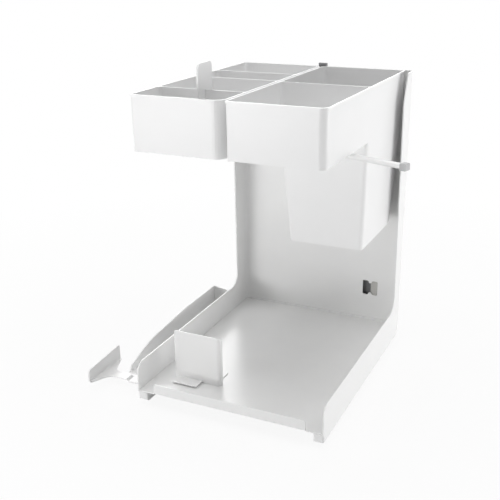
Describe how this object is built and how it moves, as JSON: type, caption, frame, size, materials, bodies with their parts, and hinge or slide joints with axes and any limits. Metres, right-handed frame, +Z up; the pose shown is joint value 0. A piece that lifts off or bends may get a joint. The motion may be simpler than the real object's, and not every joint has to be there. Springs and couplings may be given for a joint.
{
  "type": "pull-out pantry unit",
  "caption": "Pull-out cabinet insert: folded metal tray with a tall back on roller runners, lift-out bins, side pocket, bookend, side retainer and swinging towel rail.",
  "frame": {"origin": "on the cabinet floor, in the middle of the four fixing holes", "axes": "+X to the right seen from the front, -Y the way the unit pulls out, +Z up"},
  "size_m": [0.4711, 0.405, 0.514],
  "materials": {
    "coated_steel": "white powder coat, satin",
    "zinc_steel": "zinc-plated, satin",
    "nylon": "natural white nylon",
    "grey_plastic": "light grey moulding",
    "bin_plastic": "white moulded plastic, soft gloss",
    "dark_plastic": "dark grey moulding"
  },
  "bodies": {
    "base": {"left_fixed_rail": "zinc_steel", "right_fixed_rail": "zinc_steel", "front_tie_bar": "zinc_steel", "rear_tie_bar": "zinc_steel", "tie_rivets": "zinc_steel", "front_axles": "zinc_steel"},
    "carrier": {"back_frame": "coated_steel", "tray_floor": "coated_steel", "left_end_cap": "grey_plastic", "right_end_cap": "grey_plastic", "left_carriage_rail": "coated_steel", "right_carriage_rail": "coated_steel", "rear_axles": "zinc_steel", "left_arm": "coated_steel", "centre_arm": "coated_steel", "cross_bar": "coated_steel", "bin_rest": "coated_steel", "bracket_rivets": "coated_steel", "rail_pivot": "zinc_steel", "side_pocket": "coated_steel", "retainer_guide": "nylon", "top_clip": "dark_plastic", "hook_socket": "dark_plastic", "hook_plate": "nylon"},
    "left_front_wheel": {"left_front_roller": "nylon"},
    "right_front_wheel": {"right_front_roller": "nylon"},
    "left_rear_wheel": {"left_rear_roller": "nylon"},
    "right_rear_wheel": {"right_rear_roller": "nylon"},
    "left_caddy": {"left_bin": "bin_plastic"},
    "right_caddy": {"right_bin": "bin_plastic"},
    "tab": {"tab_divider": "bin_plastic"},
    "book_support": {"bookend": "coated_steel"},
    "retainer": {"side_retainer": "coated_steel"},
    "rail": {"towel_rail": "coated_steel", "rail_end_block": "grey_plastic"}
  },
  "joints": [
    {"name": "carrier_slide", "type": "slide", "parent": "base", "child": "carrier", "axis": [0, -1, 0], "range_m": [0, 0.27]},
    {"name": "left_front_roller_spin", "type": "hinge", "parent": "base", "child": "left_front_wheel", "pos_m": [-0.1265, -0.1425, 0.0135], "axis": [1, 0, 0], "continuous": true},
    {"name": "right_front_roller_spin", "type": "hinge", "parent": "base", "child": "right_front_wheel", "pos_m": [0.1265, -0.1425, 0.0135], "axis": [1, 0, 0], "continuous": true},
    {"name": "left_rear_roller_spin", "type": "hinge", "parent": "carrier", "child": "left_rear_wheel", "pos_m": [-0.1265, 0.1545, 0.0085], "axis": [1, 0, 0], "continuous": true},
    {"name": "right_rear_roller_spin", "type": "hinge", "parent": "carrier", "child": "right_rear_wheel", "pos_m": [0.1265, 0.1545, 0.0085], "axis": [1, 0, 0], "continuous": true},
    {"name": "left_bin_lift", "type": "slide", "parent": "carrier", "child": "left_caddy", "axis": [0, 0, 1], "range_m": [0, 0.2]},
    {"name": "right_bin_lift", "type": "slide", "parent": "carrier", "child": "right_caddy", "axis": [0, 0, 1], "range_m": [0, 0.27]},
    {"name": "tab_slide", "type": "slide", "parent": "left_caddy", "child": "tab", "axis": [1, 0, 0], "range_m": [-0.065, 0.055]},
    {"name": "bookend_slide", "type": "slide", "parent": "carrier", "child": "book_support", "axis": [0, 1, 0], "range_m": [-0.035, 0.28]},
    {"name": "retainer_slide", "type": "slide", "parent": "carrier", "child": "retainer", "axis": [-1, 0, 0], "range_m": [-0.04, 0.03]},
    {"name": "towel_rail_swing", "type": "hinge", "parent": "carrier", "child": "rail", "pos_m": [0.116, -0.075, 0.3897], "axis": [0, 0, 1], "range_deg": [-71, 19]}
  ],
  "couplings": [
    {"joint": "left_front_roller_spin", "follows": "carrier_slide", "rad_per_m": 142.86},
    {"joint": "right_front_roller_spin", "follows": "carrier_slide", "rad_per_m": 142.86},
    {"joint": "left_rear_roller_spin", "follows": "carrier_slide", "rad_per_m": 142.86},
    {"joint": "right_rear_roller_spin", "follows": "carrier_slide", "rad_per_m": 142.86}
  ]
}
